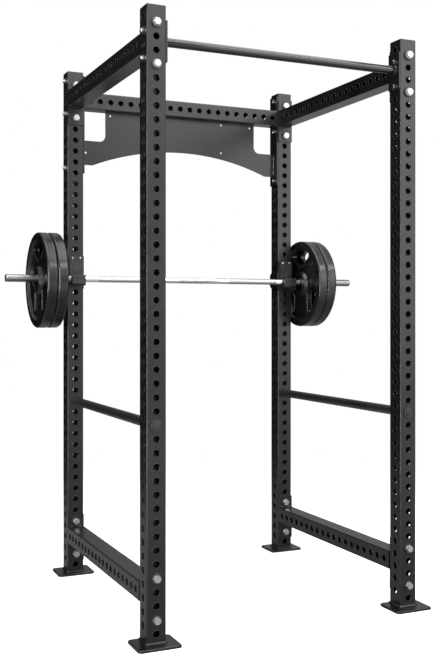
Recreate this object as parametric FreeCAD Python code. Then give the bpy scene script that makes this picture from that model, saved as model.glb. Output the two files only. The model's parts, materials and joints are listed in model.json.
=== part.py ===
import FreeCAD, Part
import math
import os

# Power cage: a drilled square-tube rack with pull-up bar, pin-and-pipe safeties, J-cups and a loaded bar.
# Millimetres. +X is the user's right, +Y is the back, +Z is up.
# The origin is on the floor, at the middle of the overall footprint. Shapes are drawn about the middle
# of the four uprights, and save() moves them to that origin.

# ---- driving dimensions ----

frame_width = 1088.0        # left upright centre to right upright centre
frame_depth = 1060.0        # front upright centre to rear upright centre
tube = 75.0                 # outside of every square tube
wall = 3.0
tube_corner = 4.0           # outside corner radius
pitch = 50.0                # hole spacing
hole_r = 12.5
hole_count = 45             # per upright face
first_hole_z = 45.0         # lowest hole on the front and rear faces
side_stagger = 25.0         # side-face holes sit half a pitch higher

foot_thick = 10.0
foot_x = 166.0
foot_y = 134.0
foot_forward = {"front": 20.0, "rear": 0.0}     # foot plate's centre in front of the upright's
foot_corner = 14.0
upright_top = 2305.0
cap_thick = 4.0
cap_skirt = 18.0

beam_top_z = [2220.0, 220.0]        # upper and lower side beams
beam_bolt_above = 25.0              # from the beam's top to the upper flange bolt
beam_bolt_spacing = 150.0
flange_edge = 30.0                  # from a flange bolt to the flange's end
flange_thick = 8.0
flange_half = {"front": 33.0, "rear": 37.5}      # half widths; a front flange hides behind its upright
beam_holes = 19

rear_plate_thick = 6.0
rear_plate_z = [1845.0, 2295.0]
rear_bolt_z = [1870.0, 2120.0, 2270.0]
rear_beam_holes = 20
panel_thick = 6.0
panel_y = frame_depth / 2 + 2
panel_end_z = 1890.0
arch_half = 450.0
arch_rise = 88.0
cutout_half_x = 388.0               # inner edge of each end cutout
cutout_bottom_z = 2003.0
cutout_corner = 30.0
panel_hole_r = 5.0
panel_holes = [(208, 2130), (365, 2127), (208, 1992), (484, 1947)]

bracket_thick = 6.0
bracket_z = [2106.0, 2257.0]
bracket_bolt_z = [2120.0, 2220.0]
pull_bar_z = 2187.0
pull_bar_r = 16.5
pull_bar_wall = 3.0

frame_bolt = {"shank_r": 8.0, "flats": 24.0, "head": 10.0, "nut": 13.0, "washer_r": 16.0, "washer": 3.0}
cross_bolt = {"shank_r": 6.0, "flats": 19.0, "head": 6.5, "nut": 7.5, "washer_r": 15.0, "washer": 2.0}
collar_washer_r = 17.0              # thick washer under the side beams' bolt heads
collar_washer_thick = 5.0
bushing_r = 21.5
bushing_thick = 2.5
thread_out = 2.0                    # bolt end past the nut

safety_hole = 30                    # counted down from the top hole
safety_pin_r = 12.0
safety_pin_past = 7.5               # pin tip past the rear upright
safety_pipe_r = 19.0
safety_pipe_bore = 12.5
safety_end_gap = 0.5
safety_head_r = 21.5
safety_head_thick = 5.0
safety_boss_r = 13.0
safety_boss_thick = 5.0

cup_hole = 18
cup_gap = 0.3                       # air between a J-cup and its upright
cup_plate = 8.0
cup_z = [1312.0, 1462.0]
wing_z = [1325.0, 1401.0]
wing_reach = 73.0                   # how far a wing runs back along the upright
wing_chamfer = 12.0
cup_pin_r = 12.0
cup_pin_length = 66.0
pad_thick = 8.0
pad_half = 31.0
hook_half = 28.0
hook_bevel = 8.0                    # lower front corner of the hook
shelf_thick = 7.0
lip_thick = 7.0
saddle_wall = 6.0
saddle_skin = 3.0                   # plastic over the lip's front and ends
screw_x = 18.0
screw_z = 1451.0
screw_head_r = 4.5
screw_r = 2.5

bar_r = 14.0
bar_z = 1355.0
bar_gap = 0.3                       # air between the bar and its saddle
channel = 32.0                      # room between back pad and lip
bar_offset = 14.0                   # the racked bar's middle lies this far right of the cage's
shaft_half = 590.0
spigot_r = 11.0
spigot_end = 874.0
sleeve_r = 17.0
sleeve_bore = 13.0
sleeve_start = 590.5
sleeve_end = 887.0
collar_r = 21.0                     # stops a plate, and clears the J-cup plate behind the bar
collar_length = 3.0
bushing_clear = 0.05
bushing_length = 40.0
ring_groove_x = 300.0
ring_groove_width = 6.0
ring_groove_depth = 0.5

plate_r = 214.0
plate_half = 24.0                   # half thickness at the rim
plate_gap = 0.3
plate_start = {"left": 639.3, "right": 606.3}   # inner plate's inner face, from the cage's middle
rim_inner_r = 181.0
web_half = 8.0
hub_r = 62.0
hub_half = 22.0
hub_ring_r = 37.0
plate_bore_r = 25.2
grip_count = 3
grip_outer_r = 172.0
grip_apex_r = 78.0
grip_half_angle = math.radians(35)
grip_corner = 16.0
grip_apex_corner = 30.0
grip_lip = 9.0
grip_lip_half = 11.0

# ---- worked-out places ----

half_w = frame_width / 2
half_d = frame_depth / 2
half_t = tube / 2
rear_face = half_d - half_t         # front faces of the rear uprights
inner_face = half_w - half_t
cup_front = cup_gap + cup_plate
pad_front = cup_front + pad_thick
lip_back = pad_front + channel
bar_y = rear_face - pad_front - channel / 2
front_reach = half_d + foot_forward["front"] + foot_y / 2
rear_reach = bar_y + plate_r
origin_shift = FreeCAD.Vector(-bar_offset, (front_reach - rear_reach) / 2, 0)
sides = {"left": -1, "right": 1}
ends = {"front": -1, "rear": 1}


def vec(x, y, z):
    return FreeCAD.Vector(x, y, z)


def hole_z(number):
    """Height of a front-face hole, counted down from the top."""
    return first_hole_z + pitch * (hole_count - number)


def save(name, *shapes):
    """Write one node: a single solid, or a group of separate solids."""
    solids = [solid for shape in shapes for solid in shape.Solids]
    result = solids[0] if len(solids) == 1 else Part.makeCompound(solids)
    result = result.translated(origin_shift)
    if not result.isValid():
        raise ValueError(name + " is not a valid shape")
    result.exportStep("parts/" + name + ".step")


# ---- basic shapes ----

def box(x_range, y_range, z_range):
    size = [abs(r[1] - r[0]) for r in (x_range, y_range, z_range)]
    return Part.makeBox(*size, vec(min(x_range), min(y_range), min(z_range)))


def rounded(shape, radius, direction):
    """Fillet the straight edges that run along one direction."""
    edges = []
    for edge in shape.Edges:
        start, finish = [vertex.Point for vertex in edge.Vertexes]
        if abs((finish - start).normalize().dot(direction)) > 0.999:
            edges.append(edge)
    return shape.makeFillet(radius, edges)


def cylinder(radius, start, direction, length):
    return Part.makeCylinder(radius, length, start, direction)


def ring(outer, inner, start, direction, length):
    return cylinder(outer, start, direction, length).cut(cylinder(inner, start, direction, length))


def square_tube(start, direction, length):
    """Square tube with rounded corners, centred on the line from start along an axis direction."""
    skins = []
    for inset in (0, wall):
        side = tube - 2 * inset
        block = Part.makeBox(side, side, length, vec(-side / 2, -side / 2, 0))
        skins.append(rounded(block, tube_corner - inset, vec(0, 0, 1)))
    shape = skins[0].cut(skins[1])
    turn = FreeCAD.Rotation(vec(0, 0, 1), direction)
    shape.Placement = FreeCAD.Placement(start, turn)
    return shape


def through_holes(centres, direction):
    """Cylinders that pass through the whole tube at each centre."""
    reach = tube
    pins = [cylinder(hole_r, c - direction * reach, direction, 2 * reach) for c in centres]
    return Part.makeCompound(pins)


def hex_prism(start, direction, height, flats):
    """Hexagon bar with its outer corners turned down to a chamfer."""
    corner = flats / math.sqrt(3)
    points = []
    for i in range(7):
        angle = math.radians(60 * i)
        points.append(vec(corner * math.cos(angle), corner * math.sin(angle), 0))
    prism = Part.Face(Part.makePolygon(points)).extrude(vec(0, 0, height))
    drum = cylinder(corner, vec(0, 0, 0), vec(0, 0, 1), height)
    top_edge = [e for e in drum.Edges if len(e.Vertexes) == 1 and abs(e.CenterOfMass.z - height) < 0.01]
    shape = prism.common(drum.makeChamfer(1.4, top_edge))
    shape.Placement = FreeCAD.Placement(start, FreeCAD.Rotation(vec(0, 0, 1), direction))
    return shape


def bolt(face, direction, grip, size):
    """Bolt whose head rests at face and whose shank runs along direction through the grip."""
    head = hex_prism(face, direction * -1, size["head"], size["flats"])
    return head.fuse(cylinder(size["shank_r"], face, direction, grip + size["nut"] + thread_out))


def nut(face, direction, size):
    hole = cylinder(size["shank_r"] + 0.1, face - direction, direction, size["nut"] + 2)
    return hex_prism(face, direction, size["nut"], size["flats"]).cut(hole)


def washer(face, direction, size):
    return ring(size["washer_r"], size["shank_r"] + 0.5, face, direction, size["washer"])


# ---- frame ----

def make_uprights():
    up = vec(0, 0, 1)
    stock = square_tube(vec(0, 0, foot_thick), up, upright_top - foot_thick)
    front_rows = [vec(0, 0, hole_z(n)) for n in range(1, hole_count + 1)]
    side_rows = [row + vec(0, 0, side_stagger) for row in front_rows]
    stock = stock.cut(through_holes(front_rows, vec(0, 1, 0)))
    stock = stock.cut(through_holes(side_rows, vec(1, 0, 0)))

    foot = box((-foot_x / 2, foot_x / 2), (-foot_y / 2, foot_y / 2), (0, foot_thick))
    foot = rounded(foot, foot_corner, up)
    top = [e for e in foot.Edges if abs(e.BoundBox.ZMin - foot_thick) < 0.01]
    foot = foot.makeFillet(3, top)

    caps = []
    for end, y_sign in ends.items():
        for side, x_sign in sides.items():
            place = vec(x_sign * half_w, y_sign * half_d, 0)
            save("upright_" + end + "_" + side, stock.translated(place))
            save("foot_plate_" + end + "_" + side, foot.translated(place - vec(0, foot_forward[end], 0)))
            caps.append(end_cap().translated(place))
    save("end_caps", *caps)


def end_cap():
    cover = box((-half_t, half_t), (-half_t, half_t), (upright_top, upright_top + cap_thick))
    cover = rounded(cover, tube_corner, vec(0, 0, 1))
    top = [e for e in cover.Edges if abs(e.BoundBox.ZMin - upright_top - cap_thick) < 0.01]
    cover = cover.makeFillet(2, top)
    plug_half = half_t - wall - 0.2
    plug = box((-plug_half, plug_half), (-plug_half, plug_half), (upright_top - cap_skirt, upright_top))
    return cover.fuse(rounded(plug, tube_corner - wall, vec(0, 0, 1)))


def make_side_beams():
    back = vec(0, 1, 0)
    beam_end = half_d - half_t - flange_thick
    flange_height = beam_bolt_spacing + 2 * flange_edge
    for level, top_z in zip(("top", "bottom"), beam_top_z):
        upper_bolt = top_z + beam_bolt_above
        lower_bolt = upper_bolt - beam_bolt_spacing
        stock = square_tube(vec(0, -beam_end, top_z - half_t), back, 2 * beam_end)
        rows = [vec(0, pitch * (n - (beam_holes - 1) / 2), top_z - half_t) for n in range(beam_holes)]
        stock = stock.cut(through_holes(rows, vec(1, 0, 0)))
        flange_z = (lower_bolt - flange_edge, lower_bolt - flange_edge + flange_height)
        flanges = []
        for end, sign in ends.items():
            half = flange_half[end]
            plate = box((-half, half), (sign * beam_end, sign * (beam_end + flange_thick)), flange_z)
            plate = rounded(plate, 3, back)
            rows = [vec(0, sign * beam_end, z) for z in (upper_bolt, lower_bolt)]
            flanges.append(plate.cut(through_holes(rows, back)))
        for side, x_sign in sides.items():
            shift = vec(x_sign * half_w, 0, 0)
            save("side_beam_" + level + "_" + side, stock.translated(shift))
            save("beam_flanges_" + level + "_" + side, *[f.translated(shift) for f in flanges])


def make_side_beam_fasteners():
    bolts = []
    nuts = []
    washers = []
    bushings = []
    back = vec(0, 1, 0)
    for top_z in beam_top_z:
        for bolt_z in (top_z + beam_bolt_above, top_z + beam_bolt_above - beam_bolt_spacing):
            for x_sign in sides.values():
                for y_sign in ends.values():
                    # The front flange is behind its upright and the rear flange in front of it.
                    start = -half_d - half_t if y_sign < 0 else rear_face - flange_thick
                    face = vec(x_sign * half_w, start, bolt_z)
                    stack = tube + flange_thick
                    under_head = face - back * (bushing_thick + collar_washer_thick)
                    far = face + back * stack
                    grip = bushing_thick + collar_washer_thick + stack + frame_bolt["washer"]
                    bore = frame_bolt["shank_r"] + 0.5
                    bolts.append(bolt(under_head, back, grip, frame_bolt))
                    bushings.append(ring(bushing_r, bore, face, back * -1, bushing_thick))
                    washers.append(ring(collar_washer_r, bore, under_head, back, collar_washer_thick))
                    washers.append(washer(far, back, frame_bolt))
                    nuts.append(nut(far + back * frame_bolt["washer"], back, frame_bolt))
    save("side_beam_bolts", *bolts)
    save("side_beam_nuts", *nuts)
    save("side_beam_washers", *washers)
    save("side_beam_bushing_rings", *bushings)


def make_rear_frame():
    across = vec(1, 0, 0)
    end_x = inner_face - rear_plate_thick
    beam_z = beam_top_z[0] - half_t
    beam = square_tube(vec(-end_x, half_d, beam_z), across, 2 * end_x)
    rows = [vec(pitch * (n - (rear_beam_holes - 1) / 2), half_d, beam_z) for n in range(rear_beam_holes)]
    save("rear_crossmember", beam.cut(through_holes(rows, vec(0, 1, 0))))

    for side, sign in sides.items():
        plate = box((sign * end_x, sign * inner_face), (half_d - half_t, half_d + half_t), rear_plate_z)
        plate = rounded(plate, 3, across)
        rows = [vec(sign * end_x, half_d, z) for z in rear_bolt_z]
        save("rear_end_plate_" + side, plate.cut(through_holes(rows, across)))

    save("rear_arch_panel", arch_panel(end_x))


def arch_panel(end_x):
    y = panel_y - panel_thick / 2
    top_z = beam_top_z[0] - tube
    low = panel_end_z
    arch_top = vec(0, y, low + arch_rise)
    left_start = vec(-arch_half, y, low)
    right_start = vec(arch_half, y, low)
    sides_path = Part.makePolygon([
        right_start, vec(end_x, y, low), vec(end_x, y, top_z),
        vec(-end_x, y, top_z), vec(-end_x, y, low), left_start])
    arc = Part.Arc(left_start, arch_top, right_start).toShape()
    outline = Part.Wire(sides_path.Edges + [arc])
    panel = Part.Face(outline).extrude(vec(0, panel_thick, 0))
    for sign in (-1, 1):
        # Each end is open from the crossmember down, so that its bolt can be reached.
        notch = box((sign * cutout_half_x, sign * (end_x + tube)), (y - tube, y + tube),
                    (cutout_bottom_z, top_z + tube))
        edges = []
        for edge in notch.Edges:
            middle = edge.CenterOfMass
            at_corner = abs(abs(middle.x) - cutout_half_x) < 0.01 and abs(middle.z - cutout_bottom_z) < 0.01
            if at_corner:
                edges.append(edge)
        panel = panel.cut(notch.makeFillet(cutout_corner, edges))
        for x, z in panel_holes:
            panel = panel.cut(cylinder(panel_hole_r, vec(sign * x, y - 1, z), vec(0, 1, 0), panel_thick + 2))
    return panel


def make_pull_up_bar():
    across = vec(1, 0, 0)
    end_x = inner_face - bracket_thick
    start = vec(-end_x, -half_d, pull_bar_z)
    save("pull_up_bar", ring(pull_bar_r, pull_bar_r - pull_bar_wall, start, across, 2 * end_x))
    for side, sign in sides.items():
        plate = box((sign * end_x, sign * inner_face), (-half_d - half_t, -half_d + half_t), bracket_z)
        plate = rounded(plate, 3, across)
        rows = [vec(sign * end_x, -half_d, z) for z in bracket_bolt_z]
        save("pull_up_bracket_" + side, plate.cut(through_holes(rows, across)))


def make_cross_fasteners():
    """Bolts along X: heads inside the cage, nuts on the outer faces."""
    bolts = []
    nuts = []
    washers = []
    places = [(-half_d, z, bracket_thick) for z in bracket_bolt_z]
    places += [(half_d, z, rear_plate_thick) for z in rear_bolt_z]
    for sign in sides.values():
        out = vec(sign, 0, 0)
        for y, z, plate in places:
            face = vec(sign * (inner_face - plate), y, z)
            stack = plate + tube
            under_head = face - out * cross_bolt["washer"]
            far = face + out * stack
            bolts.append(bolt(under_head, out, stack + 2 * cross_bolt["washer"], cross_bolt))
            washers.append(washer(under_head, out, cross_bolt))
            washers.append(washer(far, out, cross_bolt))
            nuts.append(nut(far + out * cross_bolt["washer"], out, cross_bolt))
    save("cross_bolts", *bolts)
    save("cross_nuts", *nuts)
    save("cross_washers", *washers)


# ---- safeties ----

def make_safeties():
    back = vec(0, 1, 0)
    z = hole_z(safety_hole)
    front_face = -half_d - half_t
    for side, sign in sides.items():
        x = sign * half_w
        pipe_start = -rear_face + safety_end_gap
        pipe = ring(safety_pipe_r, safety_pipe_bore, vec(x, pipe_start, z), back, 2 * rear_face - 2 * safety_end_gap)
        save("safety_pipe_" + side, pipe)

        rod_end = half_d + half_t + safety_pin_past
        rod = cylinder(safety_pin_r, vec(x, front_face - safety_end_gap, z), back,
                       rod_end - front_face + safety_end_gap)
        tip = [e for e in rod.Edges if abs(e.CenterOfMass.y - rod_end) < 0.01 and len(e.Vertexes) == 1]
        rod = rod.makeChamfer(3, tip)
        head_back = vec(x, front_face - safety_end_gap, z)
        head = cylinder(safety_head_r, head_back, back * -1, safety_head_thick)
        head = head.makeFillet(1.5, circles_at(head, head_back.y - safety_head_thick))
        boss_base = head_back - back * safety_head_thick
        boss = cylinder(safety_boss_r, boss_base, back * -1, safety_boss_thick)
        boss = boss.makeFillet(2, circles_at(boss, boss_base.y - safety_boss_thick))
        save("safety_pin_" + side, rod.fuse([head, boss]))


def circles_at(shape, y):
    """Round edges of a Y-axis cylinder at one height along Y."""
    return [e for e in shape.Edges if len(e.Vertexes) == 1 and abs(e.CenterOfMass.y - y) < 0.01]


# ---- J-cups ----

def cup_box(x_range, depth_range, z_range, x):
    """Box placed by its distance in front of the rear uprights' front faces."""
    return box([x + value for value in x_range], [rear_face - d for d in depth_range], z_range)


def cup_profile(x_half, points, x):
    """Prism along X from (distance in front of the rear uprights' front faces, height) points."""
    corners = [vec(x - x_half, rear_face - depth, z) for depth, z in points]
    return Part.Face(Part.makePolygon(corners + corners[:1])).extrude(vec(2 * x_half, 0, 0))


def make_j_cups():
    """Both cups are the same part, with one wing on the left side of its upright."""
    seat_z = bar_z - bar_r - bar_gap
    shelf_z = (seat_z - saddle_wall - shelf_thick, seat_z - saddle_wall)
    lip_top = bar_z + bar_r - 1
    lip_range = (lip_back + saddle_wall, lip_back + saddle_wall + lip_thick)
    hook_points = [(cup_front, shelf_z[0]), (lip_range[1] - hook_bevel, shelf_z[0]),
                   (lip_range[1], shelf_z[0] + hook_bevel), (lip_range[1], lip_top), (lip_range[0], lip_top),
                   (lip_range[0], shelf_z[1]), (cup_front, shelf_z[1])]
    wing_out = half_t + cup_gap + cup_plate
    for side, sign in sides.items():
        x = sign * half_w
        plate = cup_box((-half_t, half_t), (cup_gap, cup_front), cup_z, x)
        hook = cup_profile(hook_half, hook_points, x)
        bend = cup_box((-wing_out, -half_t), (cup_gap, cup_front), wing_z, x)
        pin_start = vec(x, rear_face - cup_gap, hole_z(cup_hole))
        pin = cylinder(cup_pin_r, pin_start, vec(0, 1, 0), cup_pin_length)
        save("j_cup_body_" + side, plate.fuse([hook, bend, wing(x, wing_out), pin]).removeSplitter())

        pad = cup_box((-pad_half, pad_half), (cup_front, pad_front), (shelf_z[1], cup_z[1] - 2), x)
        pad = rounded(pad, 4, vec(0, 1, 0))
        save("j_cup_back_pad_" + side, pad.cut(Part.makeCompound(screws(x))))
        save("j_cup_screws_" + side, *screws(x))
        save("j_cup_saddle_" + side, saddle(x, seat_z, shelf_z, lip_range, lip_top).cut(hook))


def wing(x, wing_out):
    """Side plate that wraps back along the upright, its rear corners cut off."""
    z_low, z_high = wing_z
    y_front = rear_face - cup_front
    y_back = rear_face + wing_reach
    inner = x - half_t - cup_gap
    points = [vec(inner, y_front, z_low), vec(inner, y_back - wing_chamfer, z_low),
              vec(inner, y_back, z_low + wing_chamfer), vec(inner, y_back, z_high - wing_chamfer),
              vec(inner, y_back - wing_chamfer, z_high), vec(inner, y_front, z_high)]
    face = Part.Face(Part.makePolygon(points + points[:1]))
    return face.extrude(vec(half_t + cup_gap - wing_out, 0, 0))


def saddle(x, seat_z, shelf_z, lip_range, lip_top):
    """Plastic liner before the steel hook is cut out of it: a flat seat and a cover over the lip."""
    front = lip_range[1] + saddle_skin
    reach = hook_half + saddle_skin
    cover_top = lip_top + saddle_skin + 2
    cover_low = shelf_z[0] - saddle_skin
    bevel = hook_bevel + saddle_skin / 2
    seat = cup_box((-reach, reach), (pad_front, lip_range[0]), (shelf_z[1], seat_z), x)
    cover = cup_profile(reach, [
        (lip_back, cover_low), (front - bevel, cover_low), (front, cover_low + bevel),
        (front, cover_top), (lip_back, cover_top)], x)
    top_front = [e for e in cover.Edges if is_top_front_edge(e, rear_face - front, cover_top)]
    under = cup_box((-reach - 1, reach + 1), (lip_back - 1, lip_range[0]), (shelf_z[0] - tube, shelf_z[1]), x)
    return seat.fuse(cover.makeFillet(4, top_front).cut(under)).removeSplitter()


def is_top_front_edge(edge, y, z):
    middle = edge.CenterOfMass
    return abs(middle.y - y) < 0.01 and abs(middle.z - z) < 0.01


def screws(x):
    """Two button-head screws through the top of the back pad."""
    shapes = []
    for sign in (-1, 1):
        face = vec(x + sign * screw_x, rear_face - pad_front, screw_z)
        head = cylinder(screw_head_r, face, vec(0, -1, 0), 2.5)
        head = head.makeFillet(1.5, circles_at(head, face.y - 2.5))
        shapes.append(head.fuse(cylinder(screw_r, face, vec(0, 1, 0), pad_thick)))
    return shapes


# ---- loaded bar ----

def along_x(radius, start, finish):
    """Cylinder on the bar's axis, its ends measured from the bar's middle."""
    start_point = vec(bar_offset + min(start, finish), bar_y, bar_z)
    return cylinder(radius, start_point, vec(1, 0, 0), abs(finish - start))


def make_bar():
    shaft = along_x(bar_r, -shaft_half, shaft_half)
    shaft = shaft.fuse(along_x(spigot_r, -spigot_end, spigot_end))
    for sign in (-1, 1):
        near = sign * ring_groove_x
        band = along_x(bar_r + 1, near, near + sign * ring_groove_width)
        core = along_x(bar_r - ring_groove_depth, near, near + sign * ring_groove_width)
        shaft = shaft.cut(band.cut(core))
    save("bar_shaft", shaft)
    for side, sign in sides.items():
        make_sleeve(side, sign)
        make_plates(side, sign)


def make_sleeve(side, sign):
    tube_part = along_x(sleeve_r, sign * sleeve_start, sign * sleeve_end)
    end_x = bar_offset + sign * sleeve_end
    tip = [e for e in tube_part.Edges if len(e.Vertexes) == 1 and abs(e.CenterOfMass.x - end_x) < 0.01]
    tube_part = tube_part.makeChamfer(2.5, tip)
    bore = along_x(sleeve_bore, sign * (sleeve_start - 1), sign * (sleeve_end + 1))
    save("bar_sleeve_" + side, tube_part.cut(bore))
    collar = along_x(collar_r, sign * sleeve_start, sign * (sleeve_start + collar_length))
    save("stop_collar_" + side, collar.cut(along_x(sleeve_r, sign * (sleeve_start - 1), end_x)))

    linings = []
    cap_start = sleeve_end - 7
    for near in (sleeve_start, cap_start - bushing_length - 12):
        outer = along_x(sleeve_bore, sign * near, sign * (near + bushing_length))
        inner = along_x(spigot_r + bushing_clear, sign * (near - 1), sign * (near + bushing_length + 1))
        linings.append(outer.cut(inner))
    save("sleeve_bushings_" + side, *linings)
    save("sleeve_end_cap_" + side, along_x(sleeve_bore, sign * cap_start, sign * (sleeve_end - 0.5)))


def plate_profile():
    """Half section of a plate, radius against half thickness, from hub to rim."""
    slope = 8.0
    return [(hub_ring_r, hub_half), (hub_r - slope / 2, hub_half), (hub_r + slope / 2, web_half),
            (rim_inner_r - slope, web_half), (rim_inner_r, plate_half)]


def plate_blank():
    """Solid of revolution about the X axis at the origin."""
    corner = 9.0
    upper = [vec(half, 0, radius) for radius, half in plate_profile()]
    shoulder = vec(plate_half, 0, plate_r - corner)
    bend = corner * (1 - math.sqrt(0.5))
    crown = vec(plate_half - corner, 0, plate_r)
    arc_mid = vec(plate_half - bend, 0, plate_r - bend)
    edges = list(Part.makePolygon(upper + [shoulder]).Edges)
    edges.append(Part.Arc(shoulder, arc_mid, crown).toShape())
    flip = FreeCAD.Matrix()
    flip.A11 = -1
    mirrored = [edge.transformGeometry(flip) for edge in edges]
    mirror_crown = vec(-crown.x, 0, crown.z)
    mirror_hub = vec(-upper[0].x, 0, upper[0].z)
    closing = [Part.makeLine(crown, mirror_crown), Part.makeLine(mirror_hub, upper[0])]
    outline = Part.Wire(Part.__sortEdges__(edges + mirrored + closing))
    return Part.Face(outline).revolve(vec(0, 0, 0), vec(1, 0, 0), 360)


def grip_prism(margin, half):
    """Grip opening: an outer arc and two sides that meet above the hub."""
    outer = grip_outer_r + margin
    apex = grip_apex_r - margin
    side_shift = margin / outer
    angle = grip_half_angle + side_shift
    left = vec(-half, -outer * math.sin(angle), outer * math.cos(angle))
    right = vec(-half, outer * math.sin(angle), outer * math.cos(angle))
    top = vec(-half, 0, outer)
    point = vec(-half, 0, apex)
    outline = Part.Wire([Part.Arc(left, top, right).toShape(), Part.makeLine(right, point),
                         Part.makeLine(point, left)])
    prism = Part.Face(outline).extrude(vec(2 * half, 0, 0))
    corners = []
    tips = []
    for edge in prism.Edges:
        if edge.BoundBox.XLength < 2 * half - 0.01:
            continue
        if abs(edge.CenterOfMass.y) < 0.01:
            tips.append(edge)
        else:
            corners.append(edge)
    prism = prism.makeFillet(grip_corner + margin, corners)
    tips = [e for e in prism.Edges if e.BoundBox.XLength > 2 * half - 0.01 and abs(e.CenterOfMass.y) < 0.01]
    return prism.makeFillet(grip_apex_corner + margin, tips)


def make_plates(side, sign):
    blank = plate_blank()
    centre = vec(0, 0, 0)
    lips = []
    openings = []
    for n in range(grip_count):
        turn = 360.0 * n / grip_count
        lips.append(grip_prism(grip_lip, grip_lip_half).rotated(centre, vec(1, 0, 0), turn))
        openings.append(grip_prism(0, plate_half + 1).rotated(centre, vec(1, 0, 0), turn))
    body = blank.fuse(lips).cut(openings)
    ring_start = vec(-hub_half - 0.5, 0, 0)
    hub = ring(hub_ring_r, plate_bore_r, ring_start, vec(1, 0, 0), 2 * hub_half + 1)

    # The bore is wider than the sleeve, so a plate hangs with the top of its bore on the sleeve.
    drop = plate_bore_r - sleeve_r - plate_gap
    near = plate_start[side]
    for name in ("inner", "outer"):
        place = vec(sign * (near + plate_half), bar_y, bar_z - drop)
        save("plate_" + name + "_" + side, body.translated(place))
        save("plate_ring_" + name + "_" + side, hub.translated(place))
        near += 2 * plate_half + plate_gap


def main():
    os.makedirs("parts", exist_ok=True)
    make_uprights()
    make_side_beams()
    make_side_beam_fasteners()
    make_rear_frame()
    make_pull_up_bar()
    make_cross_fasteners()
    make_safeties()
    make_j_cups()
    make_bar()


main()
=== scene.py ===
import json
import math
import bpy
import bmesh
from mathutils import Matrix, Vector


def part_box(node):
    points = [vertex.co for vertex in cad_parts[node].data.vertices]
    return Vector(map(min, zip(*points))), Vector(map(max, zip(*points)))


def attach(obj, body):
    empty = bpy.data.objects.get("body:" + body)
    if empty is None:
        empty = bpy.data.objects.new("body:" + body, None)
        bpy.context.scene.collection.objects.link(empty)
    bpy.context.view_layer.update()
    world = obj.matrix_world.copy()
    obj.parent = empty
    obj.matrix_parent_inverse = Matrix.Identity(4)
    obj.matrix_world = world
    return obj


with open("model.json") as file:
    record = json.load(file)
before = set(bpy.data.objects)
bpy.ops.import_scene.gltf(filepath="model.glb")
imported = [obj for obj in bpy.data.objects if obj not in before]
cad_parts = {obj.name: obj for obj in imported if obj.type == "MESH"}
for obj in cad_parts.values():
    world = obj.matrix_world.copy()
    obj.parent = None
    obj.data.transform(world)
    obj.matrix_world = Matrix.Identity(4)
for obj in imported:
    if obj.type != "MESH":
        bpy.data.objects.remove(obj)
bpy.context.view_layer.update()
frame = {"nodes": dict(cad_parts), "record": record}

upAxis = Vector((0, 0, 1))
print("frame loaded:", len(frame["nodes"]), "nodes")


# small tools for building node trees
def linearHex(code):  # sRGB hex such as "#1c1e20" to linear RGBA
    parts = [int(code[i:i + 2], 16) / 255 for i in (1, 3, 5)]
    return [*(c / 12.92 if c <= 0.04045 else ((c + 0.055) / 1.055) ** 2.4 for c in parts), 1.0]


def addNode(tree, kind, inputs=None, **settings):
    node = tree.nodes.new(kind)
    for name, value in settings.items():
        setattr(node, name, value)
    for name, value in (inputs or {}).items():
        socket = node.inputs[name]
        if isinstance(value, bpy.types.NodeSocket):
            tree.links.new(value, socket)
        else:
            socket.default_value = value
    return node


def startMaterial(name):
    material = bpy.data.materials.new(name)
    material.use_nodes = True
    material.node_tree.nodes.clear()
    return material, material.node_tree


def endMaterial(tree, **inputs):
    named = {key.replace("_", " "): value for key, value in inputs.items()}
    shader = addNode(tree, "ShaderNodeBsdfPrincipled", named)
    addNode(tree, "ShaderNodeOutputMaterial", {"Surface": shader.outputs["BSDF"]})


def objectPoint(tree, stretch=(1, 1, 1)):  # metres, in the object's own space
    point = addNode(tree, "ShaderNodeTexCoord").outputs["Object"]
    return addNode(tree, "ShaderNodeMapping", {"Vector": point, "Scale": stretch}).outputs["Vector"]


def noiseOf(tree, point, sizeMm, detail=2.0, roughness=0.5):  # noise whose blobs are sizeMm across
    scale = 1000 / sizeMm
    return addNode(tree, "ShaderNodeTexNoise", {
        "Vector": point, "Scale": scale, "Detail": detail, "Roughness": roughness}).outputs["Fac"]


def rangeOf(tree, value, low, high, fromLow=0.0, fromHigh=1.0):
    return addNode(tree, "ShaderNodeMapRange", {
        "Value": value, "From Min": fromLow, "From Max": fromHigh,
        "To Min": low, "To Max": high}).outputs["Result"]


def blendOf(tree, factor, first, second):
    mix = addNode(tree, "ShaderNodeMix", {0: factor, 6: first, 7: second}, data_type="RGBA")
    return mix.outputs[2]


def mathOf(tree, operation, first, second=0.0):
    return addNode(tree, "ShaderNodeMath", {0: first, 1: second}, operation=operation).outputs[0]


# polyester powder baked on steel: even satin with a fine orange peel
def powderCoat(name, colour, sheen, roughness):
    material, tree = startMaterial(name)
    point = objectPoint(tree)
    cloud = noiseOf(tree, point, 90, 3)
    peel = noiseOf(tree, point, 2.2, 2)
    grain = noiseOf(tree, point, 0.6, 1)
    base = blendOf(tree, cloud, linearHex(colour), linearHex(sheen))
    gloss = rangeOf(tree, cloud, roughness - 0.04, roughness + 0.05)
    relief = mathOf(tree, "ADD", peel, rangeOf(tree, grain, 0, 0.25))
    bump = addNode(tree, "ShaderNodeBump", {"Strength": 0.35, "Distance": 0.00012, "Height": relief})
    endMaterial(tree, Base_Color=base, Roughness=gloss, IOR=1.5, Normal=bump.outputs["Normal"])
    return material


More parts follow.
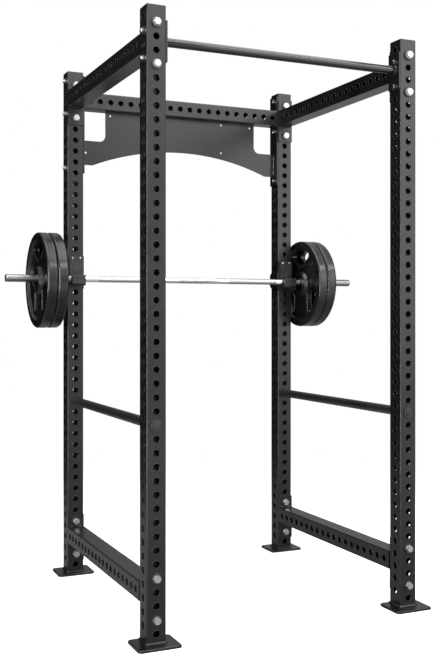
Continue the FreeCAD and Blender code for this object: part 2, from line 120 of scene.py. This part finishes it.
# spark-textured mould skin: dull, with an even fine grain
def mouldedPlastic(name, colour, roughness, textureMm):
    material, tree = startMaterial(name)
    point = objectPoint(tree)
    grain = noiseOf(tree, point, textureMm, 2)
    scuff = noiseOf(tree, point, 25, 4, 0.65)
    base = blendOf(tree, rangeOf(tree, scuff, 0, 0.6, 0.45, 0.8), linearHex(colour), linearHex("#3a3b3c"))
    gloss = rangeOf(tree, scuff, roughness - 0.06, roughness + 0.08)
    bump = addNode(tree, "ShaderNodeBump", {"Strength": 0.4, "Distance": 0.0001, "Height": grain})
    endMaterial(tree, Base_Color=base, Roughness=gloss, IOR=1.46, Normal=bump.outputs["Normal"])
    return material


def zincPlate(name):  # cold-forged steel with bright zinc: pale, faintly blue, slightly uneven gloss
    material, tree = startMaterial(name)
    point = objectPoint(tree)
    cloud = noiseOf(tree, point, 6, 3)
    grain = noiseOf(tree, point, 0.8, 2)
    base = blendOf(tree, cloud, linearHex("#c9ccd0"), linearHex("#dcdad4"))
    gloss = rangeOf(tree, grain, 0.1, 0.2)
    bump = addNode(tree, "ShaderNodeBump", {"Strength": 0.25, "Distance": 0.00008, "Height": grain})
    endMaterial(tree, Base_Color=base, Metallic=1.0, Roughness=gloss, Normal=bump.outputs["Normal"])
    return material


def blackOxide(name):  # oiled black oxide on turned bar: near black, with drawn lines along its length
    material, tree = startMaterial(name)
    lines = noiseOf(tree, objectPoint(tree, (1, 0.02, 1)), 1.6, 2)
    cloud = noiseOf(tree, objectPoint(tree), 40, 3)
    base = blendOf(tree, cloud, linearHex("#141516"), linearHex("#1e2021"))
    gloss = rangeOf(tree, lines, 0.26, 0.42)
    bump = addNode(tree, "ShaderNodeBump", {"Strength": 0.2, "Distance": 0.0001, "Height": lines})
    endMaterial(tree, Base_Color=base, Roughness=gloss, IOR=1.5, Normal=bump.outputs["Normal"])
    return material


def glossEnamel(name):  # stoved black enamel on drawn tube: deep, wet-looking, with a very slight ripple
    material, tree = startMaterial(name)
    ripple = noiseOf(tree, objectPoint(tree, (0.15, 1, 1)), 6, 2)
    smear = noiseOf(tree, objectPoint(tree), 60, 4)
    base = blendOf(tree, smear, linearHex("#0c0d0d"), linearHex("#131414"))
    gloss = rangeOf(tree, smear, 0.06, 0.13)
    bump = addNode(tree, "ShaderNodeBump", {"Strength": 0.15, "Distance": 0.0002, "Height": ripple})
    endMaterial(tree, Base_Color=base, Roughness=gloss, IOR=1.52, Normal=bump.outputs["Normal"])
    return material


knurl = {
    "centre": (0.0, 0.06),       # metres from the bar's middle, where each zone starts and ends
    "grip": (0.2, 0.46),
    "pitchMm": 2.4,              # real knurl is 1.2 mm; drawn twice as coarse so that it shows
    "barRadius": 0.014,          # metres
    "extraRoughness": 0.18,
}


def knurledChrome(name):  # hard chrome on ground steel: a mirror, greyer where the knurl breaks it up
    material, tree = startMaterial(name)
    smear = noiseOf(tree, objectPoint(tree, (0.3, 1, 1)), 12, 3)
    rings = noiseOf(tree, objectPoint(tree, (1, 0.02, 0.02)), 0.9, 1)
    base = blendOf(tree, smear, linearHex("#dfe1e2"), linearHex("#f2f2f0"))
    place = addNode(tree, "ShaderNodeSeparateXYZ", {"Vector": objectPoint(tree)})
    along = mathOf(tree, "ABSOLUTE", place.outputs["X"])
    zones = []
    for start, end in (knurl["centre"], knurl["grip"]):
        zones.append(mathOf(tree, "MULTIPLY", mathOf(tree, "GREATER_THAN", along, start),
                            mathOf(tree, "LESS_THAN", along, end)))
    zone = mathOf(tree, "MAXIMUM", *zones)
    low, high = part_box("bar_shaft")
    axisY, axisZ = [(low[i] + high[i]) / 2 for i in (1, 2)]
    turn = mathOf(tree, "ARCTAN2", mathOf(tree, "SUBTRACT", place.outputs["Z"], axisZ),
                  mathOf(tree, "SUBTRACT", place.outputs["Y"], axisY))
    waves = 2 * math.pi * 1000 / knurl["pitchMm"]
    around = mathOf(tree, "MULTIPLY", turn, round(waves * knurl["barRadius"]))
    onward = mathOf(tree, "MULTIPLY", place.outputs["X"], waves)
    leftCut = mathOf(tree, "SINE", mathOf(tree, "ADD", onward, around))
    rightCut = mathOf(tree, "SINE", mathOf(tree, "SUBTRACT", onward, around))
    diamonds = mathOf(tree, "MULTIPLY", mathOf(tree, "MULTIPLY", leftCut, rightCut), zone)
    height = mathOf(tree, "ADD", rangeOf(tree, rings, 0, 0.12), diamonds)
    gloss = mathOf(tree, "ADD", rangeOf(tree, smear, 0.08, 0.2),
                   mathOf(tree, "MULTIPLY", zone, knurl["extraRoughness"]))
    base = blendOf(tree, zone, base, linearHex("#b9bbbc"))
    bump = addNode(tree, "ShaderNodeBump", {"Strength": 0.3, "Distance": 0.0002, "Height": height})
    endMaterial(tree, Base_Color=base, Metallic=1.0, Roughness=gloss, Normal=bump.outputs["Normal"])
    return material


def mouldedRubber(name):  # cured rubber over iron: deep black, satin, with a faint mould bloom
    material, tree = startMaterial(name)
    point = objectPoint(tree)
    bloom = noiseOf(tree, point, 45, 4, 0.6)
    grain = noiseOf(tree, point, 1.2, 3)
    base = blendOf(tree, bloom, linearHex("#060707"), linearHex("#0e0f0f"))
    gloss = rangeOf(tree, bloom, 0.2, 0.32)
    bump = addNode(tree, "ShaderNodeBump", {"Strength": 0.3, "Distance": 0.00015, "Height": grain})
    endMaterial(tree, Base_Color=base, Roughness=gloss, IOR=1.52, Normal=bump.outputs["Normal"])
    return material


def turnedSteel(name, dark, light):  # lathe-turned metal: dark to bright grey or bronze, with fine tool marks
    material, tree = startMaterial(name)
    rings = noiseOf(tree, objectPoint(tree), 0.7, 2)
    base = blendOf(tree, rings, linearHex(dark), linearHex(light))
    gloss = rangeOf(tree, rings, 0.18, 0.34)
    bump = addNode(tree, "ShaderNodeBump", {"Strength": 0.25, "Distance": 0.0001, "Height": rings})
    endMaterial(tree, Base_Color=base, Metallic=1.0, Roughness=gloss, Normal=bump.outputs["Normal"])
    return material


finishes = {  # record slot to material
    "powder_coat": powderCoat("satinPowderCoatedSteel", "#08090b", "#101214", 0.29),
    "end_cap_plastic": mouldedPlastic("mouldedPolyethylene", "#141516", 0.5, 0.7),
    "bushing_plastic": mouldedPlastic("mouldedNylon", "#0b0c0c", 0.55, 0.5),
    "zinc_steel": zincPlate("brightZincPlatedSteel"),
    "safety_steel": blackOxide("blackOxideSteel"),
    "gloss_black_steel": glossEnamel("stovedBlackEnamel"),
    "liner_plastic": mouldedPlastic("machinedUhmwPolyethylene", "#101111", 0.42, 1.4),
    "bar_chrome": knurledChrome("knurledHardChrome"),
    "bronze": turnedSteel("sinteredBronze", "#8a6238", "#b5874f"),
    "plate_rubber": mouldedRubber("mouldedRubber"),
    "ring_steel": turnedSteel("turnedStainlessSteel", "#4a4c4e", "#68696b"),
    "cap_steel": turnedSteel("turnedZincSteel", "#8f9294", "#b3b5b6"),
}

# painted shade: the washers' zinc is drawn a darker grey than the bolt heads beside them, partly for a duller
# finish and partly for the shade the washers sit in
dullAndShadedWasherZinc = turnedSteel("dullAndShadedZincSteel", "#5c5f61", "#7a7c7e")
sleeveSteel = turnedSteel("machinedSleeveSteel", "#75787a", "#949698")

slotOfNode = {part["node"]: part["material_slot"] for part in frame["record"]["subparts"]}
specialFinish = {  # nodes that look different from the rest of their slot
    "side_beam_washers": dullAndShadedWasherZinc, "bar_sleeve_left": sleeveSteel, "bar_sleeve_right": sleeveSteel}
for nodeName, nodeObject in frame["nodes"].items():
    nodeObject.data.materials.clear()
    nodeObject.data.materials.append(specialFinish.get(nodeName, finishes[slotOfNode[nodeName]]))
print("materials assigned:", len(finishes))


# small tools for building meshes; lengths named Mm are millimetres, all others metres
class Shape:
    def __init__(self):
        self.points = []
        self.faces = []

    def grid(self, rows, closed):  # joins rows of points, each row a closed loop
        first = len(self.points)
        count = len(rows[0])
        for row in rows:
            self.points.extend(row)
        last = len(rows) if closed else len(rows) - 1
        for i in range(last):
            here = first + i * count
            after = first + (i + 1) % len(rows) * count
            for j in range(count):
                k = (j + 1) % count
                self.faces.append((here + j, after + j, after + k, here + k))
        if not closed:
            self.faces.append(tuple(first + j for j in range(count)))
            self.faces.append(tuple(first + (len(rows) - 1) * count + j for j in reversed(range(count))))

    def finish(self, name, body, material):
        mesh = bpy.data.meshes.new(name)
        mesh.from_pydata([tuple(p) for p in self.points], [], self.faces)
        bm = bmesh.new()
        bm.from_mesh(mesh)
        bmesh.ops.recalc_face_normals(bm, faces=bm.faces)
        bm.to_mesh(mesh)
        bm.free()
        mesh.polygons.foreach_set("use_smooth", [True] * len(mesh.polygons))
        mesh.materials.append(material)
        piece = bpy.data.objects.new(name, mesh)
        bpy.context.collection.objects.link(piece)
        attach(piece, body)
        return piece


def turnedRing(shape, centre, normal, sectionMm, steps=20):  # section: (radius, height) round the axis
    normal = Vector(normal)
    side = upAxis if abs(normal.z) < 0.9 else Vector((1, 0, 0))
    across = side.cross(normal)
    rows = []
    for step in range(steps):
        angle = 2 * math.pi * step / steps
        out = side * math.cos(angle) + across * math.sin(angle)
        rows.append([Vector(centre) + out * r * 0.001 + normal * h * 0.001 for r, h in sectionMm])
    shape.grid(rows, closed=True)


def roundSection(radiusMm, thickMm, heightMm=0.0, count=8):  # section of a round bead
    turns = [2 * math.pi * i / count for i in range(count)]
    return [(radiusMm + thickMm * math.cos(t), heightMm + thickMm * math.sin(t)) for t in turns]


weld = {
    "legMm": 6.0, "thinLegMm": 4.0, "barLegMm": 5.0,
    "rippleMm": 4.0, "stepMm": 1.0,
    "rippleHeight": 0.14,         # share of the leg
    "taper": 0.35,                # leg at each end of an open bead
    "middle": 0.72,               # how far the bead's middle stands out, as a share of its leg
    "overlap": 0.0004,            # metres that a bead reaches into the corner
    "arcPoints": 6,
}


# places: (point in the corner, way along the first wall, way along the second wall)
def weldRun(shape, places, closed, legMm=weld["legMm"]):
    rows = []
    for i, (corner, first, second) in enumerate(places):
        swell = abs(math.sin(math.pi * i * weld["stepMm"] / weld["rippleMm"]))
        ripple = 1 + weld["rippleHeight"] * swell
        if not closed and i in (0, len(places) - 1):
            ripple = weld["taper"]
        leg = legMm * 0.001 * ripple
        row = [corner - (first + second) * weld["overlap"]]
        for j in range(weld["arcPoints"]):
            angle = math.pi / 2 * j / (weld["arcPoints"] - 1)
            bulge = first * math.cos(angle) + second * math.sin(angle)
            reach = weld["middle"] + (1 - weld["middle"]) * abs(math.cos(2 * angle))
            row.append(corner + bulge * leg * reach)
        rows.append(row)
    shape.grid(rows, closed)


def straightRun(start, end, first, second):
    start, end = Vector(start), Vector(end)
    count = max(4, round((end - start).length * 1000 / weld["stepMm"]))
    return [(start.lerp(end, i / count), Vector(first), Vector(second)) for i in range(count + 1)]


def tubeRun(centre, half, corner):  # round the outside of an upright, at its foot
    places = []
    flat = half - corner
    for quarter in range(4):
        turn = Matrix.Rotation(math.pi / 2 * quarter, 3, "Z")
        steps = round(2 * flat * 1000 / weld["stepMm"])
        for i in range(steps):
            along = Vector((half, -flat + 2 * flat * i / steps, 0))
            places.append((Vector(centre) + turn @ along, turn @ Vector((1, 0, 0)), upAxis))
        for i in range(5):
            angle = math.pi / 2 * i / 5
            out = Vector((math.cos(angle), math.sin(angle), 0))
            spot = Vector((flat, flat, 0)) + out * corner
            places.append((Vector(centre) + turn @ spot, turn @ out, upAxis))
    return places


# rolled edges of the punched holes in uprights and beams
holes = {
    "pitch": 0.05,
    "lowest": 0.045,          # lowest hole on the front and rear faces
    "stagger": 0.025,         # side holes sit this much higher
    "perUpright": 45,
    "perSideBeam": 19,
    "perCrossmember": 20,
    "edgeMm": [(12.3, -0.4), (12.35, 0.35), (12.7, 0.8), (13.4, 0.95), (14.3, 0.6), (15.0, -0.4)],
}
groups = ("bolts", "nuts", "washers", "rings", "caps")     # spread over the whole cage, so not tested


boxes = {node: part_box(node) for node in frame["nodes"]}


def middleOf(node):
    low, high = boxes[node]
    return [(low[i] + high[i]) / 2 for i in range(3)]


def isCovered(point, owner):  # something else sits on the face here
    for node in frame["nodes"]:
        if node == owner or (node.rsplit("_", 1)[-1] in groups):
            continue
        low, high = boxes[node]
        if all(low[i] < point[i] < high[i] for i in range(3)):
            return True
    return False


def holeEdges(node, faces):  # faces: (normal, list of hole centres on that face)
    shape = Shape()
    for normal, centres in faces:
        for centre in centres:
            ahead = [c + n * 0.001 for c, n in zip(centre, normal)]
            if not isCovered(ahead, node):
                turnedRing(shape, centre, normal, holes["edgeMm"])
    shape.finish(node + "_hole_edges", "frame", finishes["powder_coat"])


def rowPlaces(middle, count):
    return [middle + holes["pitch"] * (n - (count - 1) / 2) for n in range(count)]


def makeHoleEdges():
    for end in ("front", "rear"):
        for side in ("left", "right"):
            node = "upright_" + end + "_" + side
            low, high = boxes[node]
            x, y = middleOf(node)[:2]
            levels = [holes["lowest"] + holes["pitch"] * n for n in range(holes["perUpright"])]
            lifted = [z + holes["stagger"] for z in levels]
            holeEdges(node, [
                ((0, -1, 0), [(x, low[1], z) for z in levels]),
                ((0, 1, 0), [(x, high[1], z) for z in levels]),
                ((-1, 0, 0), [(low[0], y, z) for z in lifted]),
                ((1, 0, 0), [(high[0], y, z) for z in lifted])])
    for level in ("top", "bottom"):
        for side in ("left", "right"):
            node = "side_beam_" + level + "_" + side
            low, high = boxes[node]
            x, y, z = middleOf(node)
            places = rowPlaces(y, holes["perSideBeam"])
            holeEdges(node, [((-1, 0, 0), [(low[0], p, z) for p in places]),
                             ((1, 0, 0), [(high[0], p, z) for p in places])])
    low, high = boxes["rear_crossmember"]
    x, y, z = middleOf("rear_crossmember")
    places = rowPlaces(x, holes["perCrossmember"])
    holeEdges("rear_crossmember", [((0, -1, 0), [(p, low[1], z) for p in places]),
                                   ((0, 1, 0), [(p, high[1], z) for p in places])])


makeHoleEdges()
print("hole edges ready")


tubeCorner = 0.004     # metres, outside radius of the square tube's corners


def makeWelds():
    coat = finishes["powder_coat"]
    shape = Shape()
    for end in ("front", "rear"):
        for side in ("left", "right"):
            low, high = boxes["upright_" + end + "_" + side]
            x, y = middleOf("upright_" + end + "_" + side)[:2]
            weldRun(shape, tubeRun((x, y, low[2]), (high[0] - low[0]) / 2, tubeCorner), True)
    shape.finish("foot_welds", "frame", coat)

    shape = Shape()
    for level in ("top", "bottom"):
        for side in ("left", "right"):
            low, high = boxes["side_beam_" + level + "_" + side]
            for y, inward in ((low[1], 1), (high[1], -1)):
                for z, out in ((low[2], -1), (high[2], 1)):
                    weldRun(shape, straightRun((low[0] + 0.01, y, z), (high[0] - 0.01, y, z),
                                               (0, 0, out), (0, inward, 0)), False)
    low, high = boxes["rear_crossmember"]
    for x, inward in ((low[0], 1), (high[0], -1)):
        for z, out in ((low[2], -1), (high[2], 1)):
            weldRun(shape, straightRun((x, low[1] + 0.006, z), (x, high[1] - 0.006, z),
                                       (0, 0, out), (inward, 0, 0)), False)
    panelLow, panelHigh = boxes["rear_arch_panel"]
    panelMiddle = (panelLow[0] + panelHigh[0]) / 2
    stitch = {"length": 0.04, "spacing": 0.11, "eachSide": 3, "endLow": 0.008, "endHigh": 0.1}
    for y, out in ((panelLow[1], -1), (panelHigh[1], 1)):
        for n in range(-stitch["eachSide"], stitch["eachSide"] + 1):
            start = panelMiddle + stitch["spacing"] * n - stitch["length"] / 2
            weldRun(shape, straightRun((start, y, low[2]), (start + stitch["length"], y, low[2]),
                                       (0, out, 0), (0, 0, -1)), False, weld["thinLegMm"])
        for x, inward in ((panelLow[0], 1), (panelHigh[0], -1)):
            weldRun(shape, straightRun((x, y, panelLow[2] + stitch["endLow"]),
                                       (x, y, panelLow[2] + stitch["endHigh"]),
                                       (0, out, 0), (inward, 0, 0)), False, weld["thinLegMm"])
    shape.finish("beam_welds", "frame", coat)

    shape = Shape()
    low, high = boxes["pull_up_bar"]
    y, z = middleOf("pull_up_bar")[1:]
    radius = (high[2] - low[2]) / 2
    for x, inward in ((low[0], 1), (high[0], -1)):
        places = []
        count = round(2 * math.pi * radius * 1000 / weld["stepMm"])
        for i in range(count):
            angle = 2 * math.pi * i / count
            out = Vector((0, math.cos(angle), math.sin(angle)))
            places.append((Vector((x, y, z)) + out * radius, out, Vector((inward, 0, 0))))
        weldRun(shape, places, True, weld["barLegMm"])
    shape.finish("pull_up_bar_welds", "frame", finishes["gloss_black_steel"])


makeWelds()
print("welds ready")


# raised lips of the plates' grip openings, and turned lines on hub and rim
plate = {
    "outerMm": 172.0, "apexMm": 78.0, "halfAngle": 35.0, "cornerMm": 16.0, "apexCornerMm": 30.0,
    "lipMiddleMm": 4.5, "lipHeightMm": 11.0, "lipRoundMm": 4.0,
    "rim": [(182.0, 21.8, 2.0), (203.0, 22.9, 1.0)],      # radius, height, thickness of each turned bead
    "hub": [(40.5, 21.9, 1.3), (54.0, 21.9, 1.4)],
}


def arcPoints(centre, radius, start, end, count):
    return [(centre[0] + radius * math.cos(start + (end - start) * i / count),
             centre[1] + radius * math.sin(start + (end - start) * i / count)) for i in range(count + 1)]


def gripOutline(marginMm):  # right half from the apex to the top, then its mirror image; across and up, in mm
    outer = plate["outerMm"] + marginMm
    apex = plate["apexMm"] - marginMm
    angle = math.radians(plate["halfAngle"]) + marginMm / outer
    corner = plate["cornerMm"] + marginMm
    apexCorner = plate["apexCornerMm"] + marginMm
    wayX, wayY = outer * math.sin(angle), outer * math.cos(angle) - apex
    length = math.hypot(wayX, wayY)
    wayX, wayY = wayX / length, wayY / length
    startX, startY = -wayY * corner, apex + wayX * corner   # the corner's centre runs along this line
    along = startX * wayX + startY * wayY
    spare = startX ** 2 + startY ** 2 - (outer - corner) ** 2
    run = -along + math.sqrt(along ** 2 - spare)
    centre = (startX + wayX * run, startY + wayY * run)
    sideTurn = math.atan2(-wayX, wayY)
    topTurn = math.atan2(centre[1], centre[0])
    tipCentre = (0.0, apex + apexCorner / wayX)
    half = arcPoints(tipCentre, apexCorner, -math.pi / 2, sideTurn, 7)
    half += arcPoints(centre, corner, sideTurn, topTurn, 9)
    half += arcPoints((0, 0), outer, topTurn, math.pi / 2, 12)[1:]
    return half + [(-x, y) for x, y in reversed(half[1:-1])]


def makePlateDetail():
    section = roundSection(0, plate["lipRoundMm"])
    for name in ("inner_left", "outer_left", "inner_right", "outer_right"):
        node = "plate_" + name
        centre = Vector(middleOf("plate_ring_" + name))
        shape = Shape()
        for face in (-1, 1):
            outward = Vector((face, 0, 0))
            for n in range(3):
                turn = Matrix.Rotation(2 * math.pi * n / 3, 3, "X")
                loop = [turn @ Vector((face * plate["lipHeightMm"], x, y)) * 0.001
                        for x, y in gripOutline(plate["lipMiddleMm"])]
                rows = []
                for i, spot in enumerate(loop):
                    tangent = (loop[(i + 1) % len(loop)] - loop[i - 1]).normalized()
                    out = tangent.cross(outward)
                    rows.append([centre + spot + (out * a + outward * b) * 0.001 for a, b in section])
                shape.grid(rows, closed=True)
            for radius, height, thick in plate["rim"] + plate["hub"]:
                turnedRing(shape, centre, outward, roundSection(radius, thick, height), 120)
        shape.finish(node + "_beads", node, finishes["plate_rubber"])


makePlateDetail()
print("plate detail ready")


room = {
    "floorRadius": 3.6,          # metres
    "floorSolid": 1.7,           # the floor is full out to here, then fades away
    "floorColour": "#f1f0ee",
    "floorBounce": "#8c8b89",    # what the steel sees of the floor, kept low so that undersides stay dark
    "floorLift": 0.35,
    "backdrop": "#ffffff",
    "backdropStrength": 1.0,
}


def makeWorld():
    world = bpy.data.worlds.new("studio")
    bpy.context.scene.world = world
    world.use_nodes = True
    tree = world.node_tree
    tree.nodes.clear()
    direction = addNode(tree, "ShaderNodeTexCoord").outputs["Generated"]
    split = addNode(tree, "ShaderNodeSeparateXYZ", {"Vector": direction})
    frontness = rangeOf(tree, split.outputs["Y"], 1.4, 0.02, -0.8, 0.05)
    behindRight = mathOf(tree, "MULTIPLY", rangeOf(tree, split.outputs["Y"], 0.0, 0.6, 0.2, 0.9),
                         rangeOf(tree, split.outputs["X"], 0.0, 1.0, 0.0, 0.5))
    overhead = rangeOf(tree, split.outputs["Z"], 0.0, 0.9, 0.45, 1.0)
    aroundRoom = mathOf(tree, "ADD", frontness, behindRight)
    # a dark gap between floor and softboxes draws the line along chrome and enamel
    height = mathOf(tree, "ABSOLUTE", mathOf(tree, "SUBTRACT", split.outputs["Z"], 0.02))
    gap = rangeOf(tree, height, 0.08, 1.0, 0.07, 0.2)
    soft = mathOf(tree, "ADD", mathOf(tree, "MULTIPLY", aroundRoom, gap), overhead)
    studio = addNode(tree, "ShaderNodeBackground", {"Color": linearHex("#ffffff"), "Strength": soft})
    backdrop = addNode(tree, "ShaderNodeBackground", {
        "Color": linearHex(room["backdrop"]), "Strength": room["backdropStrength"]})
    seen = addNode(tree, "ShaderNodeLightPath").outputs["Is Camera Ray"]
    mixed = addNode(tree, "ShaderNodeMixShader", {
        0: seen, 1: studio.outputs["Background"], 2: backdrop.outputs["Background"]})
    addNode(tree, "ShaderNodeOutputWorld", {"Surface": mixed.outputs["Shader"]})


def makeFloor():
    mesh = bpy.data.meshes.new("floor")
    bm = bmesh.new()
    bmesh.ops.create_circle(bm, cap_ends=True, segments=96, radius=room["floorRadius"])
    bm.to_mesh(mesh)
    floor = bpy.data.objects.new("floor", mesh)
    bpy.context.collection.objects.link(floor)
    material, tree = startMaterial("paleFloor")
    place = addNode(tree, "ShaderNodeTexCoord").outputs["Object"]
    away = addNode(tree, "ShaderNodeVectorMath", {0: place}, operation="LENGTH").outputs["Value"]
    solid = rangeOf(tree, away, 1.0, 0.0, room["floorSolid"], room["floorRadius"] - 0.1)
    seen = addNode(tree, "ShaderNodeLightPath").outputs["Is Camera Ray"]
    shade = blendOf(tree, seen, linearHex(room["floorBounce"]), linearHex(room["floorColour"]))
    matt = addNode(tree, "ShaderNodeBsdfDiffuse", {"Color": shade})
    glow = addNode(tree, "ShaderNodeEmission", {
        "Color": linearHex("#ffffff"), "Strength": mathOf(tree, "MULTIPLY", seen, room["floorLift"])})
    paint = addNode(tree, "ShaderNodeAddShader", {0: matt.outputs[0], 1: glow.outputs[0]})
    clear = addNode(tree, "ShaderNodeBsdfTransparent")
    mixed = addNode(tree, "ShaderNodeMixShader", {0: solid, 1: clear.outputs[0], 2: paint.outputs[0]})
    addNode(tree, "ShaderNodeOutputMaterial", {"Surface": mixed.outputs["Shader"]})
    mesh.materials.append(material)


def addSoftbox(name, place, aim, size, power):
    light = bpy.data.lights.new(name, "AREA")
    light.shape = "RECTANGLE"
    light.size, light.size_y = size
    light.energy = power
    lamp = bpy.data.objects.new(name, light)
    lamp.location = place
    lamp.rotation_euler = (Vector(aim) - Vector(place)).to_track_quat("-Z", "Y").to_euler()
    bpy.context.collection.objects.link(lamp)
    return lamp


camera = {
    "place": (-1.7710, -3.8376, 1.1974),   # metres
    "turnDegrees": 24.153,                 # clockwise from straight ahead, seen from above
    "focalMm": 52.51,
    "shiftUp": -0.0243,
}


def makeCamera():
    data = bpy.data.cameras.new("camera")
    data.sensor_width = 36
    data.lens = camera["focalMm"]
    data.shift_y = camera["shiftUp"]
    view = bpy.data.objects.new("camera", data)
    view.location = camera["place"]
    view.rotation_euler = (math.radians(90), 0, -math.radians(camera["turnDegrees"]))
    bpy.context.collection.objects.link(view)
    bpy.context.scene.camera = view
    bpy.context.scene.view_settings.view_transform = "Standard"


makeWorld()
makeFloor()
addSoftbox("topSoftbox", (0, -0.6, 5.0), (0, 0, 0), (4.0, 4.0), 160)
addSoftbox("leftStrip", (-5.6, -2.0, 1.4), (0, 0, 1.2), (0.45, 4.5), 330)
addSoftbox("frontSoftbox", (3.2, -5.2, 2.4), (0, 0, 1.2), (3.0, 3.5), 80)
addSoftbox("cameraSideSoftbox", (-1.4, -5.6, 1.5), (0, 0, 1.2), (2.4, 4.4), 150)
addSoftbox("highStrip", (1.8, -3.8, 4.6), (0, -0.3, 1.8), (4.0, 0.3), 90)
makeCamera()
print("room, light and camera ready")
